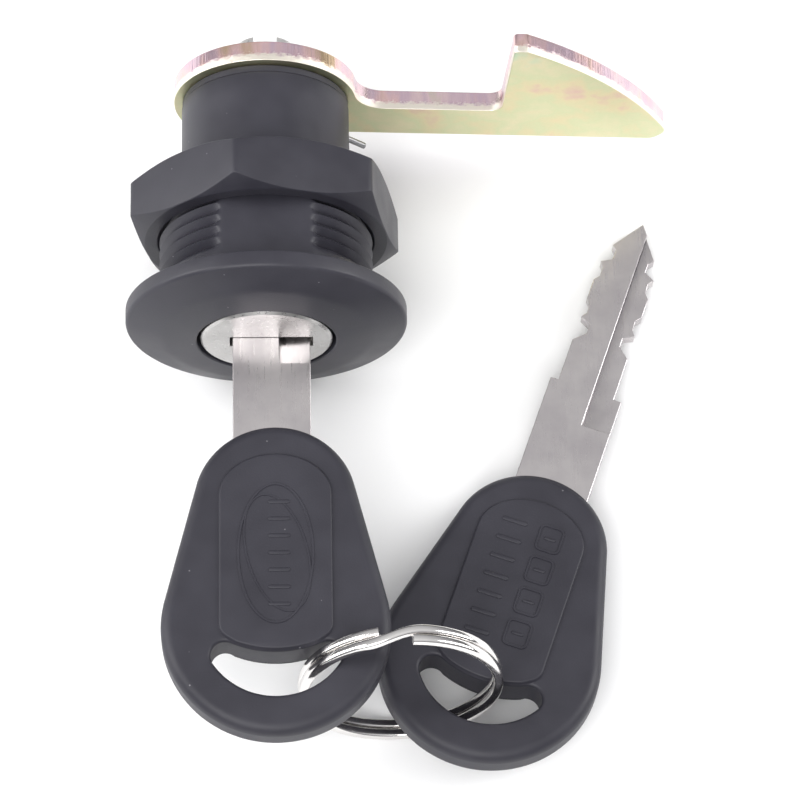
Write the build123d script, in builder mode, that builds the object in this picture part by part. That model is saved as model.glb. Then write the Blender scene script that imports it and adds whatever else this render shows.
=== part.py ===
from build123d import *
import math
import os

# Panel-mounted cam lock with its two keys on a split ring, in millimetres.
# The lock's axis is Y: the front of the lock faces -Y and the cam is at the +Y end.
# The origin is on the axis, in the flange's back face, where the panel sits.
# +X runs along the cam's arm and +Z is up as the lock lies on a table.

os.makedirs("parts", exist_ok=True)

# --- shared clearances and margins ---
running_gap = 0.05          # radial, a turned piece in its bore
free_gap = 0.15             # each side of a loose piece in its slot
mould_gap = 0.02            # between a moulded piece and what it is moulded or pressed round
overcut = 1.0               # how far a cutting shape runs past the face it cuts
touch = 0.01                # tolerance when an edge is picked by its size or place

# --- turning core ---
plug_face = -3.42           # Y of the front face
head_seat = -0.6            # where the plug's head sits, inside the flange
plug_radius = 6.75          # the head
plug_edge = 0.25
head_gap = 0.35             # ring-shaped gap round the head
core_radius = 5.8           # the part that holds the wafers
core_web = 0.6              # behind the keyway
wafer_groove_depth = 1.2    # side channels that the wafers lock into
stop_lug_inset = 0.15       # the lug's rim below the head's rim
stop_lug_depth = 1.4
stop_lug_angle = 40.0
turn_range = 90.0
stop_slack_angle = 3.0
tail_shoulder = 1.0         # from the drum's radius to the tail's
tail_flat_cut = 0.35        # from the tail's radius to its flats
tail_reach = 4.2            # how far the staked tail stands behind the cam
tail_slot_width = 2.45
tail_slot_depth = 4.6

# --- wafers ---
wafer_count = 5
wafer_first = 4.9           # Y of the first wafer's middle
wafer_pitch = 2.4
wafer_thickness = 1.2
wafer_slot_gap = 0.05
wafer_height = 6.0
wafer_shrink = 0.1          # how far the wafer's round ends sit below the plug's surface
ear_from = 2.0
ear_width = 0.9
ear_reach = 4.9
spring_pocket_radius = 0.75
spring_pocket_start = -2.3
wafer_spring_radius = 0.46
wafer_spring_wire = 0.2
wafer_spring_turns = 5
wafer_spring_end_gap = 0.04

# --- keys ---
blade_thickness = 2.0
blade_half_width = 3.95
shoulder_at = 11.5          # from the bow's top to the shoulder that stops the key
bit_half_width = 3.1
bit_start = 16.6
cut_half_widths = (1.9, 2.6, 3.1, 2.6, 1.9)
cut_flat = 1.1              # length of the flat at the bottom of a cut
cut_crest = 0.45            # how far the ridge between two cuts stands past the shallower one
tip_half_width = 2.4
tip_slant_from_cut = 0.55   # from the last cut's flat to the slant of the tip
tip_length = 3.6
recess_edge = 0.8           # the milled step, measured from the blade's middle
recess_depth = 0.7
recess_start = 7.15
blade_shift = -0.3          # the blade's middle from the bow's middle
blade_root = 0.35           # the blade's full width starts this far inside the bow's round top
tang_half_width = 3.3
tang_length = 10.0
bow_top_radius = 8.15
bow_end_radius = 11.35
bow_centres = 13.05
bow_thickness = 4.0
bow_edge_fillet = 1.2
bow_slot_radius = 7.4
boss_radius = 11.0
boss_edge = 24.1            # from the bow's top to the slot's inner edge at its middle
slot_corner_fillet = 1.42
panel_half_width = 5.65
panel_top = 3.3
panel_height = 0.35
panel_corner = 3.0
badge_half_width = 3.9
badge_half_length = 7.5
badge_middle = 13.95
badge_line = 0.4
badge_depth = 0.25
key_way_x = 0.5             # the keyway's middle from the plug's axis
key_way_gap = 0.1           # each side of the blade's thickness, round the bit and behind the tip
key_way_side_gap = 0.3      # each side of the blade's full width
key_1_top = -13.4           # Y of key 1's bow top when the key is fully in

# --- torsion spring in the barrel's rear chamber ---
torsion_wire = 0.66
torsion_outer_gap = 0.32    # from the coil to the bore
torsion_inner_gap = 0.67    # from the coil to the drum
torsion_pitch = 0.78
torsion_turns = 2.5
torsion_front_gap = 0.4     # from the core to the first coil's middle
torsion_back_gap = 0.42     # from the last coil to the rear bush's spigot
torsion_leg_angle = 49.6    # where the outer leg leaves the coil, from +X towards +Z
torsion_leg_length = 9.2
torsion_window_gap = 0.25
drum_slot_depth = 1.7

# --- housing: one black moulding of flange, threaded body and barrel ---
thread_radius = 11.0        # for a 22 mm panel hole
thread_pitch = 1.28
thread_depth = 0.75
thread_crest = 0.25         # flat left on each crest
thread_length = 14.3
thread_neck = 1.6           # least plain neck next to the flange
thread_end = 0.4            # plain stretch after the last groove
thread_lead = 0.4           # chamfer on the thread's end
thread_angle = 60.0
groove_flare = 0.1          # how far a groove's profile runs past the crests
thread_flat_cut = 1.0       # from the thread's radius to the two anti-turn flats
flange_overhang = 3.4       # past the thread, on the panel's face
flange_rim = 1.7            # height of the straight rim in front of the panel
flange_dome = 0.35          # how far the front bulges past a straight cone
flange_edge_round = 0.5
barrel_step = 1.5           # from the thread's root to the barrel

# --- nut ---
nut_wall = 1.63             # from the thread's radius to the flats
nut_thickness = 5.9
nut_from_end = 0.7          # the nut's back face to the end of the thread
nut_phase = 42.3
nut_chamfer_angle = 30.0
nut_mouth = 0.9             # countersink at each mouth of the thread
thread_play = 0.08          # between the nut's thread and the body's, at right angles to the flanks

# --- rear bush ---
bush_inset = 0.05           # from the barrel's radius to the bush's
bush_length = 0.8
bush_spigot_length = 0.2
bush_edge = 0.15

# --- cam ---
cam_thickness = 2.2
cam_rest_angle = 3.0        # how far the arm droops below the keyway's line
cam_ring_radius = 9.6
arm_top = -0.4
arm_bottom = -5.85
catch_x = 25.0
hook_top = 12.4
hook_top_width = 1.4
hook_reach = 43.3
hook_nose_z = -4.2
hook_bulge = 1.75
hook_nose_drop = 1.3
neck_fillet = 3.4
root_fillet = 1.3
nose_fillet = 1.3
hook_corner_fillet = 0.5

# --- split ring and the second key, which lies on the table ---
ring_wire = 1.0
ring_radius = 9.7           # middle of the wire
ring_strand_gap = 0.08
ring_tilt = 80.0            # from lying flat towards standing on its edge
ring_open_angle = 19.0
ring_start_angle = 84.0
ring_cross_angle = 34.0
ring_yaw = 3.0              # how far the ring is turned from facing the front, seen from above
key_1_ring_reach = 4.71     # how far sideways the wire comes in key 1's slot, all through its thickness
key_1_ring_in = 0.44        # the wire from the slot's middle line, towards the blade
key_2_ring_side = 0.45      # where the wire goes through key 2's slot, from the bow's middle
key_2_ring_in = 0.3
key_2_heading = 19.65
key_2_pitch = 3.7
key_2_lift = 0.02           # from the table to the tip's lowest edge


def facing(y):
    """A plane across the lock's axis at y, with local x along X and local y along Z, looking forward."""
    return Plane.XZ.offset(-y)


def across(angle, y=0.0):
    """As facing, turned so that local x points at an angle from +X towards +Z."""
    a = math.radians(angle)
    return Plane(origin=(0, y, 0), x_dir=(math.cos(a), 0, math.sin(a)), z_dir=(0, -1, 0))


def save(part, name):
    part.label = name
    export_step(part, f"parts/{name}.step")


# ---------------------------------------------------------------- shared sizes worked out
head_bore_radius = plug_radius + head_gap
core_bore_radius = core_radius + running_gap
stop_lug_radius = plug_radius - stop_lug_inset
torsion_radius = core_bore_radius - torsion_outer_gap - torsion_wire / 2
drum_radius = torsion_radius - torsion_wire / 2 - torsion_inner_gap
tail_radius = drum_radius - tail_shoulder
tail_flat_half = tail_radius - tail_flat_cut

cut_first = wafer_first - key_1_top
last_cut = cut_first + (len(cut_half_widths) - 1) * wafer_pitch
tip_slant_start = last_cut + cut_flat / 2 + tip_slant_from_cut
blade_length = tip_slant_start + tip_length
key_tip_y = key_1_top + blade_length
key_1_plane = Plane(origin=(key_way_x - blade_shift, key_1_top, 0), x_dir=(1, 0, 0), z_dir=(0, 0, 1))

core_end = key_tip_y + key_way_gap + core_web
torsion_start = core_end + torsion_front_gap
last_coil_end = torsion_start + torsion_pitch * torsion_turns + torsion_wire / 2
barrel_end = last_coil_end + torsion_back_gap + bush_spigot_length
cam_front = barrel_end + bush_length
cam_back = cam_front + cam_thickness
tail_end = cam_back + tail_reach

flange_radius = thread_radius + flange_overhang
floor = -flange_radius      # the table that the lock, ring and second key lie on
thread_flat_half = thread_radius - thread_flat_cut
thread_root_radius = thread_radius - thread_depth
barrel_radius = thread_root_radius - barrel_step
bush_radius = barrel_radius - bush_inset
bush_bore_radius = drum_radius + running_gap
nut_flat_radius = thread_radius + nut_wall
nut_corner_radius = nut_flat_radius / math.cos(math.radians(30))
nut_back = thread_length - nut_from_end
nut_front = nut_back - nut_thickness
flank = math.tan(math.radians(thread_angle / 2))
groove_half = (thread_pitch - thread_crest) / 2
thread_root_half = groove_half - thread_depth * flank
thread_count = int((thread_length - thread_neck - thread_end) / thread_pitch)
thread_middles = [thread_length - thread_end - thread_pitch * (i + 0.5) for i in range(thread_count)]


# ---------------------------------------------------------------- housing
with BuildPart() as housing:
    rim_front = -flange_rim
    cone_mid = ((flange_radius + head_bore_radius) / 2, (rim_front + plug_face) / 2 - flange_dome)
    with BuildSketch(Plane.XY):
        with BuildLine():
            Polyline((head_bore_radius, plug_face), (0, plug_face), (0, 0), (flange_radius, 0),
                     (flange_radius, rim_front))
            ThreePointArc((flange_radius, rim_front), cone_mid, (head_bore_radius, plug_face))
        make_face()
    revolve(axis=Axis.Y)
    rim_edges = housing.edges().filter_by(GeomType.CIRCLE).filter_by(
        lambda e: abs(e.radius - flange_radius) < touch)
    fillet(rim_edges, flange_edge_round)
    with BuildSketch(facing(thread_length)):
        Circle(thread_radius)
        Rectangle(2 * thread_radius, 2 * thread_flat_half, mode=Mode.INTERSECT)
    extrude(amount=thread_length)
    thread_tip = housing.edges().filter_by(GeomType.CIRCLE).filter_by(
        lambda e: abs(e.center(CenterOf.BOUNDING_BOX).Y - thread_length) < touch)
    chamfer(thread_tip, thread_lead)
    with BuildSketch(facing(barrel_end)):
        Circle(barrel_radius)
    extrude(amount=barrel_end - thread_length)
    # ring-shaped thread grooves
    with BuildSketch(Plane.XY):
        for middle in thread_middles:
            with BuildLine():
                Polyline((thread_radius + groove_flare, middle - groove_half - groove_flare * flank),
                         (thread_root_radius, middle - thread_root_half),
                         (thread_root_radius, middle + thread_root_half),
                         (thread_radius + groove_flare, middle + groove_half + groove_flare * flank),
                         close=True)
            make_face()
    revolve(axis=Axis.Y, mode=Mode.SUBTRACT)
    # bore for the plug's head, body and spring
    with BuildSketch(facing(head_seat)):
        Circle(head_bore_radius)
    extrude(amount=head_seat - plug_face + overcut, mode=Mode.SUBTRACT)
    with BuildSketch(facing(barrel_end)):
        Circle(core_bore_radius)
    extrude(amount=barrel_end - head_seat, mode=Mode.SUBTRACT)
    # side channels that the wafers spring into
    channel_end = wafer_first + (wafer_count - 1) * wafer_pitch + wafer_thickness
    channel_length = channel_end - wafer_first + wafer_thickness
    with BuildSketch(facing(channel_end)):
        Rectangle(2 * (core_radius + wafer_groove_depth), wafer_height + 2 * free_gap)
    extrude(amount=channel_length, mode=Mode.SUBTRACT)
    # pocket for the plug's stop lug, one turn range wide
    pocket_angle = stop_lug_angle + turn_range + 2 * stop_slack_angle
    with BuildSketch(facing(head_seat + stop_lug_depth + free_gap)):
        with BuildLine():
            lug_arc = CenterArc((0, 0), stop_lug_radius + free_gap, 90 + stop_lug_angle / 2 + stop_slack_angle,
                                -pocket_angle)
            Line(lug_arc @ 1, (0, 0))
            Line((0, 0), lug_arc @ 0)
        make_face()
    extrude(amount=stop_lug_depth + free_gap, mode=Mode.SUBTRACT)
    # window for the torsion spring's outer leg
    window = torsion_wire + 2 * torsion_window_gap
    window_length = torsion_leg_length + overcut
    with BuildSketch(across(torsion_leg_angle - 90, torsion_start + window / 2)):
        with Locations((window_length / 2, torsion_radius)):
            Rectangle(window_length, window)
    extrude(amount=window, mode=Mode.SUBTRACT)
save(housing.part, "housing")


# ---------------------------------------------------------------- hex nut
with BuildPart() as hex_nut:
    with BuildSketch(facing(nut_back)):
        RegularPolygon(radius=nut_corner_radius, side_count=6, rotation=nut_phase)
    extrude(amount=nut_thickness)
    past_corner = nut_corner_radius + overcut
    chamfer_drop = (past_corner - nut_flat_radius) * math.tan(math.radians(nut_chamfer_angle))
    with BuildSketch(Plane.XY):
        with BuildLine():
            Polyline((0, nut_front), (nut_flat_radius, nut_front),
                     (past_corner, nut_front + chamfer_drop), (past_corner, nut_back - chamfer_drop),
                     (nut_flat_radius, nut_back), (0, nut_back), close=True)
        make_face()
    revolve(axis=Axis.Y, mode=Mode.INTERSECT)
    # thread: a bore at the minor radius, ring grooves round each of the body's crests
    play = thread_play / math.cos(math.radians(thread_angle / 2))
    nut_minor = thread_root_radius + thread_play
    nut_major = thread_radius + thread_play
    crest_half = thread_crest / 2 + play - thread_play * flank
    crests = [middle + thread_pitch / 2 for middle in thread_middles]
    inside = [c for c in crests if nut_front - thread_pitch < c < nut_back + thread_pitch]
    with BuildSketch(facing(nut_back)):
        Circle(nut_minor)
    extrude(amount=nut_thickness, mode=Mode.SUBTRACT)
    minor_half = crest_half + (nut_major - nut_minor + thread_play) * flank
    with BuildSketch(Plane.XY):
        for crest in inside:
            with BuildLine():
                Polyline((nut_minor - thread_play, crest - minor_half), (nut_major, crest - crest_half),
                         (nut_major, crest + crest_half), (nut_minor - thread_play, crest + minor_half),
                         close=True)
            make_face()
        # countersinks
        for mouth, inward in ((nut_front, 1), (nut_back, -1)):
            with BuildLine():
                Polyline((nut_minor - thread_play, mouth - inward * overcut),
                         (nut_minor - thread_play, mouth + inward * nut_mouth),
                         (nut_minor, mouth + inward * nut_mouth),
                         (nut_minor + nut_mouth + overcut, mouth - inward * overcut), close=True)
            make_face()
    revolve(axis=Axis.Y, mode=Mode.SUBTRACT)
save(hex_nut.part, "hex_nut")


# ---------------------------------------------------------------- plug
def wafer_side(i):
    """+1 or -1: alternate wafers are sprung towards opposite sides."""
    return 1 if i % 2 == 0 else -1


def wafer_y(i):
    return wafer_first + i * wafer_pitch


ear_middle = (wafer_height / 2 + ear_reach) / 2
slot_thickness = wafer_thickness + 2 * wafer_slot_gap
leg_window_y = torsion_start + torsion_pitch * torsion_turns
key_slot_height = blade_thickness + 2 * key_way_gap

with BuildPart() as plug:
    with BuildSketch(facing(head_seat)):
        Circle(plug_radius)
    extrude(amount=head_seat - plug_face)
    chamfer(plug.faces().sort_by(Axis.Y)[0].edges(), plug_edge)
    with BuildSketch(facing(core_end)):
        Circle(core_radius)
    extrude(amount=core_end - head_seat)
    with BuildSketch(facing(cam_front)):
        Circle(drum_radius)
    extrude(amount=cam_front - core_end)
    with BuildSketch(facing(tail_end)):
        Circle(tail_radius)
        Rectangle(2 * tail_flat_half, 2 * tail_radius, mode=Mode.INTERSECT)
    extrude(amount=tail_end - cam_front)
    # stop lug behind the head
    with BuildSketch(facing(head_seat + stop_lug_depth)):
        with BuildLine():
            lug_edge = CenterArc((0, 0), stop_lug_radius, 90 + stop_lug_angle / 2, -stop_lug_angle)
            Line(lug_edge @ 1, (0, 0))
            Line((0, 0), lug_edge @ 0)
        make_face()
    extrude(amount=stop_lug_depth)
    # slot that divides the tail into two prongs
    with BuildSketch(facing(tail_end)):
        Rectangle(tail_slot_width, 2 * tail_radius + overcut)
    extrude(amount=tail_slot_depth, mode=Mode.SUBTRACT)
    # keyway: wide to the shoulder, then as wide as the bitted blade
    with BuildSketch(facing(key_1_top + shoulder_at + key_way_gap)):
        with Locations((key_way_x, 0)):
            Rectangle(2 * (blade_half_width + key_way_side_gap), key_slot_height)
    extrude(amount=key_1_top + shoulder_at + key_way_gap - plug_face + overcut, mode=Mode.SUBTRACT)
    with BuildSketch(facing(key_tip_y + key_way_gap)):
        with Locations((key_way_x, 0)):
            Rectangle(2 * (bit_half_width + key_way_gap), key_slot_height)
    extrude(amount=blade_length - shoulder_at + key_way_gap, mode=Mode.SUBTRACT)
    # wafer slots, with an ear slot and a spring pocket beside each
    for i in range(wafer_count):
        side = wafer_side(i)
        with BuildSketch(facing(wafer_y(i) + slot_thickness / 2)):
            Rectangle(2 * core_radius + overcut, wafer_height + free_gap)
            with Locations((side * (ear_from - wafer_slot_gap + core_radius / 2), side * ear_middle)):
                Rectangle(core_radius, ear_reach - wafer_height / 2 + 2 * wafer_slot_gap)
        extrude(amount=slot_thickness, mode=Mode.SUBTRACT)
        pocket_from = side * spring_pocket_start
        with BuildSketch(Plane(origin=(pocket_from, wafer_y(i), side * ear_middle), z_dir=(side, 0, 0))):
            Circle(spring_pocket_radius)
        extrude(amount=ear_from - spring_pocket_start + wafer_slot_gap, mode=Mode.SUBTRACT)
    # slot in the drum that takes the torsion spring's inner leg
    with BuildSketch(across(torsion_leg_angle + 360 * torsion_turns, leg_window_y + window / 2)):
        with Locations((drum_radius, 0)):
            Rectangle(2 * drum_slot_depth, window)
    extrude(amount=window, mode=Mode.SUBTRACT)
save(plug.part, "plug")


# ---------------------------------------------------------------- wafers and their springs
for i in range(wafer_count):
    side = wafer_side(i)
    with BuildPart() as wafer:
        with BuildSketch(facing(wafer_y(i) + wafer_thickness / 2)):
            Circle(core_radius - wafer_shrink)
            Rectangle(2 * core_radius, wafer_height, mode=Mode.INTERSECT)
            with Locations((side * (ear_from + ear_width / 2), side * (ear_reach / 2))):
                Rectangle(ear_width, ear_reach)
            with Locations((key_way_x, 0)):
                Rectangle(2 * (bit_half_width + free_gap), key_slot_height, mode=Mode.SUBTRACT)
        extrude(amount=wafer_thickness)
    save(wafer.part, f"wafer_{i + 1}")

    with BuildPart() as wafer_spring:
        wire = wafer_spring_wire
        end_space = wire / 2 + wafer_spring_end_gap
        coil_length = ear_from - spring_pocket_start - 2 * end_space
        start = Plane(origin=(side * (spring_pocket_start + end_space), wafer_y(i), side * ear_middle),
                      x_dir=(0, 1, 0), z_dir=(side, 0, 0))
        with BuildLine() as coil:
            Helix(pitch=coil_length / wafer_spring_turns, height=coil_length, radius=wafer_spring_radius)
        spring_path = start.from_local_coords(coil.line)
        with BuildSketch(Plane(origin=spring_path @ 0, z_dir=spring_path % 0)):
            Circle(wire / 2)
        sweep(path=spring_path, is_frenet=True)
    save(wafer_spring.part, f"wafer_spring_{i + 1}")


# ---------------------------------------------------------------- torsion spring
leg_start = math.radians(torsion_leg_angle)
with BuildPart() as torsion_spring:
    start = Plane(origin=(0, torsion_start, 0), x_dir=(math.cos(leg_start), 0, math.sin(leg_start)),
                  z_dir=(0, 1, 0))
    with BuildLine() as coil:
        Helix(pitch=torsion_pitch, height=torsion_pitch * torsion_turns, radius=torsion_radius, lefthand=True)
    torsion_path = start.from_local_coords(coil.line)
    coil_start = torsion_path @ 0
    coil_end = torsion_path @ 1
    with BuildSketch(Plane(origin=coil_start, z_dir=torsion_path % 0)):
        Circle(torsion_wire / 2)
    sweep(path=torsion_path, is_frenet=True)
    with Locations(coil_start, coil_end):
        Sphere(torsion_wire / 2)
    # outer leg, straight off the coil; inner leg, straight towards the axis
    with BuildSketch(Plane(origin=coil_start, z_dir=-(torsion_path % 0))):
        Circle(torsion_wire / 2)
    extrude(amount=torsion_leg_length)
    inward = Vector(-coil_end.X, 0, -coil_end.Z).normalized()
    with BuildSketch(Plane(origin=coil_end, z_dir=inward)):
        Circle(torsion_wire / 2)
    extrude(amount=torsion_radius - drum_radius + drum_slot_depth / 2)
save(torsion_spring.part, "torsion_spring")


# ---------------------------------------------------------------- rear bush
with BuildPart() as rear_bush:
    with BuildSketch(facing(cam_front)):
        Circle(bush_radius)
    extrude(amount=bush_length)
    chamfer(rear_bush.faces().sort_by(Axis.Y)[-1].edges(), bush_edge)
    with BuildSketch(facing(barrel_end)):
        Circle(core_bore_radius - mould_gap)
    extrude(amount=bush_spigot_length)
    with BuildSketch(facing(cam_front)):
        Circle(bush_bore_radius)
    extrude(amount=bush_length + bush_spigot_length, mode=Mode.SUBTRACT)
save(rear_bush.part, "rear_bush")


# ---------------------------------------------------------------- cam
cam_plane = across(-cam_rest_angle, cam_back)


def corner(sketch, x, y):
    """The sketch's vertex nearest to a point given in its own plane."""
    return sketch.vertices().sort_by_distance((x, y, 0))[0]


with BuildPart() as cam:
    nose = Vector(hook_reach, hook_nose_z)
    hook_start = Vector(catch_x + hook_top_width, hook_top)
    chord = nose - hook_start
    hook_mid = hook_start + chord * 0.5 + Vector(-chord.Y, chord.X).normalized() * hook_bulge
    heel = (hook_reach - hook_nose_drop, arm_bottom)
    with BuildSketch(cam_plane) as cam_outline:
        Circle(cam_ring_radius)
        with BuildLine():
            ThreePointArc(hook_start, hook_mid, nose)
            Polyline(nose, heel, (0, arm_bottom), (0, arm_top), (catch_x, arm_top), (catch_x, hook_top),
                     hook_start)
        make_face()
        for edge_z in (arm_top, arm_bottom):
            edge_x = math.sqrt(cam_ring_radius ** 2 - edge_z ** 2)
            fillet(corner(cam_outline, edge_x, edge_z), neck_fillet)
        fillet(corner(cam_outline, catch_x, arm_top), root_fillet)
        fillet(corner(cam_outline, catch_x, hook_top), hook_corner_fillet)
        fillet(corner(cam_outline, *heel), nose_fillet)
        fillet(corner(cam_outline, nose.X, nose.Y), nose_fillet)
    extrude(amount=cam_thickness)
    with BuildSketch(facing(cam_back)):
        Circle(tail_radius + mould_gap)
        Rectangle(2 * (tail_flat_half + mould_gap), 2 * tail_radius + overcut, mode=Mode.INTERSECT)
    extrude(amount=cam_thickness, mode=Mode.SUBTRACT)
save(cam.part, "cam")


# ---------------------------------------------------------------- keys
# how far the bow's round top falls away at the blade's edge, and a little more
blade_edge_x = blade_half_width + abs(blade_shift)
blade_sink = bow_top_radius - math.sqrt(bow_top_radius ** 2 - blade_edge_x ** 2) + blade_root


def blade_side():
    """One side of the blade as (half width, distance from the bow's top), from the bow to the tip."""
    side = [(blade_half_width, -blade_sink), (blade_half_width, shoulder_at), (bit_half_width, shoulder_at),
            (bit_half_width, bit_start)]
    for i, half_width in enumerate(cut_half_widths):
        middle = cut_first + i * wafer_pitch
        if half_width < bit_half_width:
            side += [(half_width, middle - cut_flat / 2), (half_width, middle + cut_flat / 2)]
        if i + 1 < len(cut_half_widths):
            crest = min(bit_half_width, max(half_width, cut_half_widths[i + 1]) + cut_crest)
            side.append((crest, middle + wafer_pitch / 2))
    return side + [(tip_half_width, tip_slant_start)]


def key_blade(plane):
    """A double-bitted blade. Local y runs from the bow's top to the tip, and the badge faces local +z."""
    with BuildPart() as blade:
        with BuildSketch(plane.offset(-blade_thickness / 2)):
            with BuildLine():
                right = [(blade_shift + x, y) for x, y in blade_side()]
                left = [(blade_shift - x, y) for x, y in reversed(blade_side())]
                Polyline(*right, (blade_shift, blade_length), *left, close=True)
            make_face()
            with Locations((blade_shift, -tang_length / 2)):
                Rectangle(2 * tang_half_width, tang_length)
        extrude(amount=blade_thickness)
        # milled steps: on the right of each face
        for face, hand in ((blade_thickness / 2, 1), (-blade_thickness / 2 + recess_depth, -1)):
            with BuildSketch(plane.offset(face - recess_depth)):
                with Locations((blade_shift + hand * (recess_edge + blade_half_width / 2),
                                (recess_start + blade_length) / 2)):
                    Rectangle(blade_half_width, blade_length - recess_start)
            extrude(amount=recess_depth, mode=Mode.SUBTRACT)
    return blade.part


def key_bow(plane):
    """A moulded bow round the blade's tang, with a raised panel on both faces and a slot for the ring."""
    end_y = -bow_top_radius - bow_centres
    half = bow_thickness / 2
    boss_y = boss_radius - boss_edge
    with BuildPart() as bow:
        with BuildSketch(plane.offset(-half)):
            with Locations((0, -bow_top_radius)):
                Circle(bow_top_radius)
            with Locations((0, end_y)):
                Circle(bow_end_radius)
            make_hull()
        extrude(amount=bow_thickness)
        fillet(bow.edges().filter_by(lambda e: abs(plane.to_local_coords(e.center()).Z) > half - touch),
               bow_edge_fillet)
        # raised panel on each face
        with BuildSketch(plane.offset(-half - panel_height)):
            with Locations((0, -(panel_top + boss_edge) / 2)):
                RectangleRounded(2 * panel_half_width, boss_edge - panel_top, panel_corner)
            with Locations((0, boss_y)):
                Circle(boss_radius, mode=Mode.INTERSECT)
        extrude(amount=bow_thickness + 2 * panel_height)
        # oval badge line on the front
        with BuildSketch(plane.offset(half + panel_height - badge_depth)):
            with Locations((0, -badge_middle)):
                Ellipse(badge_half_width, badge_half_length)
                Ellipse(badge_half_width - badge_line, badge_half_length - badge_line, mode=Mode.SUBTRACT)
        extrude(amount=badge_depth, mode=Mode.SUBTRACT)
        # crescent slot for the ring
        with BuildSketch(plane.offset(-half)) as slot:
            with Locations((0, end_y)):
                Circle(bow_slot_radius)
            with Locations((0, boss_y)):
                Circle(boss_radius, mode=Mode.SUBTRACT)
            fillet(slot.vertices(), slot_corner_fillet)
        extrude(amount=bow_thickness, mode=Mode.SUBTRACT)
        # pocket for the blade's tang
        with BuildSketch(plane.offset(-blade_thickness / 2 - mould_gap)):
            with Locations((blade_shift, -tang_length / 2)):
                Rectangle(2 * (tang_half_width + mould_gap), tang_length + 2 * mould_gap)
            with Locations((blade_shift, 0)):
                Rectangle(2 * (blade_half_width + mould_gap), 2 * (blade_sink + mould_gap))
        extrude(amount=blade_thickness + 2 * mould_gap, mode=Mode.SUBTRACT)
    return bow.part


# ---------------------------------------------------------------- where the ring and key 2 lie
tilt = math.radians(ring_tilt)
strand_offset = (ring_wire + ring_strand_gap) / 2
ring_half_depth = strand_offset + ring_wire / 2
ring_z = floor + (ring_radius + ring_wire / 2) * math.sin(tilt) + ring_half_depth * math.cos(tilt)


yaw = math.radians(ring_yaw)
ring_across = Vector(math.cos(yaw), math.sin(yaw), 0)
ring_level = Vector(-math.sin(yaw), math.cos(yaw), 0)


def ring_reach(z):
    """Half the width of the ring's middle line at a height."""
    return math.sqrt(ring_radius ** 2 - ((z - ring_z) / math.sin(tilt)) ** 2)


def ring_point(z, side):
    """Where the ring's middle line is at a height, on its -X or +X side, from above or below its middle."""
    level = (z - ring_z) / math.tan(tilt)
    return ring_across * (side * ring_reach(z)) + ring_level * level + Vector(0, 0, z)


def slot_middle(side):
    """The slot's middle line at a distance from the bow's middle, measured back from the bow's top."""
    inner = boss_edge - boss_radius + math.sqrt(boss_radius ** 2 - side ** 2)
    outer = bow_top_radius + bow_centres + math.sqrt(bow_slot_radius ** 2 - side ** 2)
    return (inner + outer) / 2


# the ring stands on the table and goes through key 1's slot at the lock's axis height
wire_slope = abs(ring_z) / math.sin(tilt) ** 2 / ring_reach(0)
key_1_ring_side = key_1_ring_reach - (bow_thickness / 2 + panel_height) * wire_slope
key_1_ring_back = slot_middle(key_1_ring_side) - key_1_ring_in
key_1_slot_point = key_1_plane.from_local_coords((key_1_ring_side, -key_1_ring_back, 0))
ring_middle = key_1_slot_point - ring_point(0, -1)
ring_plane = Plane(origin=(ring_middle.X, ring_middle.Y, ring_z), x_dir=ring_across,
                   z_dir=ring_level * -math.sin(tilt) + Vector(0, 0, math.cos(tilt)))

# key 2 has its tip on the table and its bow on the ring
heading = math.radians(key_2_heading)
pitch = math.radians(key_2_pitch)
key_2_along = Vector(math.sin(heading) * math.cos(pitch), math.cos(heading) * math.cos(pitch), -math.sin(pitch))
key_2_right = Vector(math.cos(heading), -math.sin(heading), 0)
key_2_up = key_2_right.cross(key_2_along)
tip_z = floor + key_2_lift + blade_thickness / 2 * math.cos(pitch)
key_2_ring_back = slot_middle(key_2_ring_side) - key_2_ring_in
key_2_slot_z = tip_z + (blade_length + key_2_ring_back) * math.sin(pitch)
key_2_slot_point = ring_middle + ring_point(key_2_slot_z, 1)
key_2_top = key_2_slot_point - key_2_right * key_2_ring_side + key_2_along * key_2_ring_back
# it lies the other way up, so it shows its back
key_2_plane = Plane(origin=key_2_top, x_dir=key_2_right * -1, z_dir=key_2_up * -1)

save(key_blade(key_1_plane), "key_1_blade")
save(key_bow(key_1_plane), "key_1_bow")
save(key_blade(key_2_plane), "key_2_blade")
save(key_bow(key_2_plane), "key_2_bow")


# ---------------------------------------------------------------- split ring
turn_arc = 360 - ring_open_angle / 2 - ring_cross_angle / 2

with BuildPart() as key_ring:
    with BuildLine(ring_plane) as ring_path:
        near = CenterArc((0, 0, strand_offset), ring_radius, ring_start_angle, -turn_arc)
        far = CenterArc((0, 0, -strand_offset), ring_radius,
                        ring_start_angle - turn_arc - ring_cross_angle, -turn_arc)
        Spline(near @ 1, far @ 0, tangents=(near % 1, far % 0))
    with BuildSketch(Plane(origin=near @ 0, z_dir=near % 0)):
        Circle(ring_wire / 2)
    sweep(path=ring_path.line)
save(key_ring.part, "key_ring")
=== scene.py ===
import math

import bmesh
import bpy
from mathutils import Matrix, Vector
from mathutils.geometry import tessellate_polygon


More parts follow.
